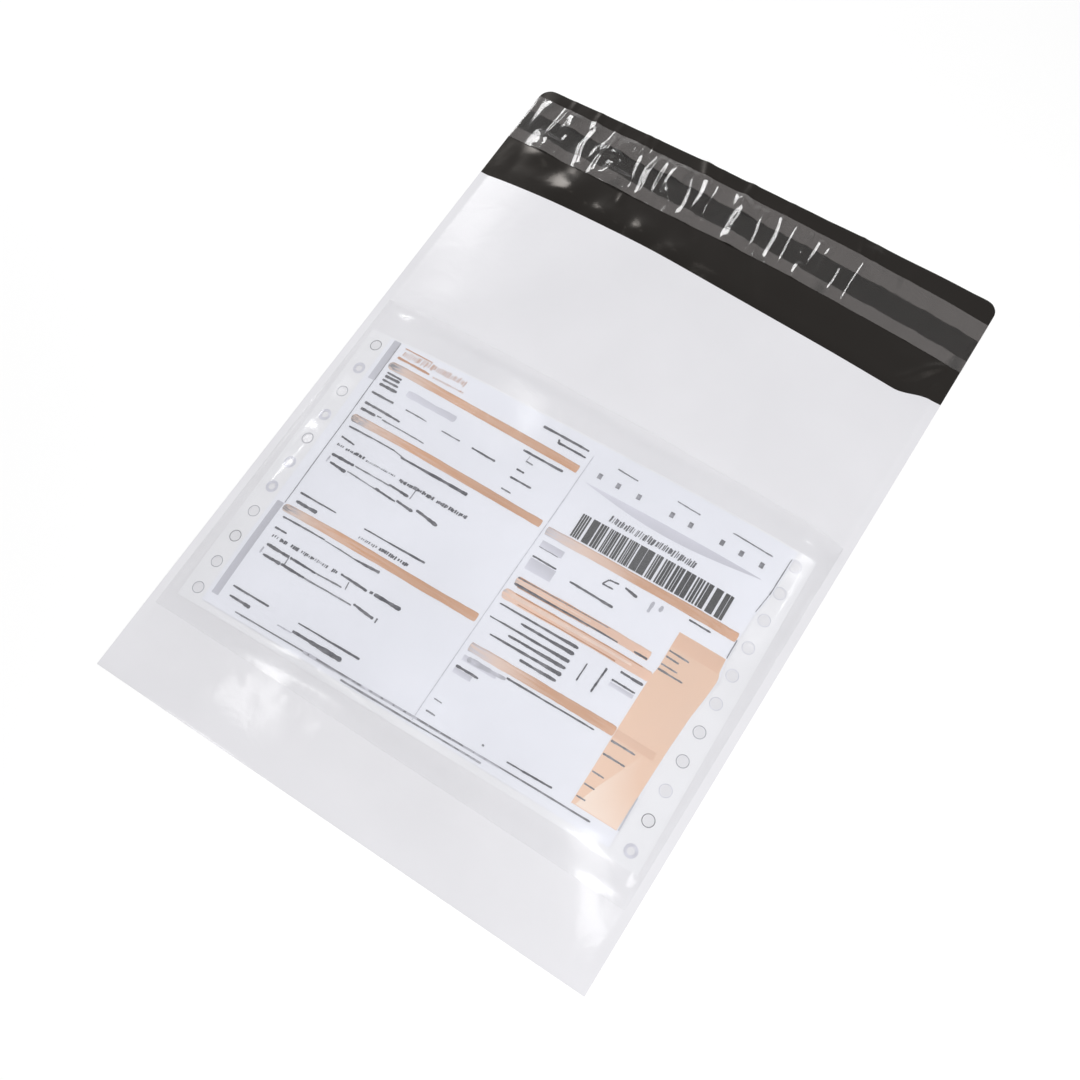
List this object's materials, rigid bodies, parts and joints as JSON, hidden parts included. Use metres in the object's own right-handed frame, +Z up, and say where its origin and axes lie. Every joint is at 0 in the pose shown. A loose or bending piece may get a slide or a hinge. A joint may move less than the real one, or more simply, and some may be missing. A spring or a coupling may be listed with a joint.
{
  "type": "poly mailer bag",
  "caption": "Flat film mailing bag, white outside and black inside, with an open sealing flap, a covered glue strip and a clear front pouch holding a waybill.",
  "frame": {"origin": "middle of the bag's footprint, on the surface that it lies on", "axes": "+X across the bag, +Y from the bottom fold to the flap, +Z up out of the front panel"},
  "size_m": [0.228, 0.328, 0.0084],
  "materials": {
    "bag_film": "glossy white film outside, black film inside and on the flap's inner face",
    "pouch_film": "clear glossy film",
    "base_paper": "matt lilac-white paper with punched margins",
    "copy_paper": null,
    "adhesive": "satin tacky glue",
    "liner_film": "clear glossy puckered film"
  },
  "bodies": {
    "root": {"bag_film": "bag_film", "document_pouch": "pouch_film", "waybill_base_sheet": "base_paper", "waybill_top_copy": "copy_paper", "adhesive_strip": "adhesive", "release_liner": "liner_film"}
  },
  "joints": []
}
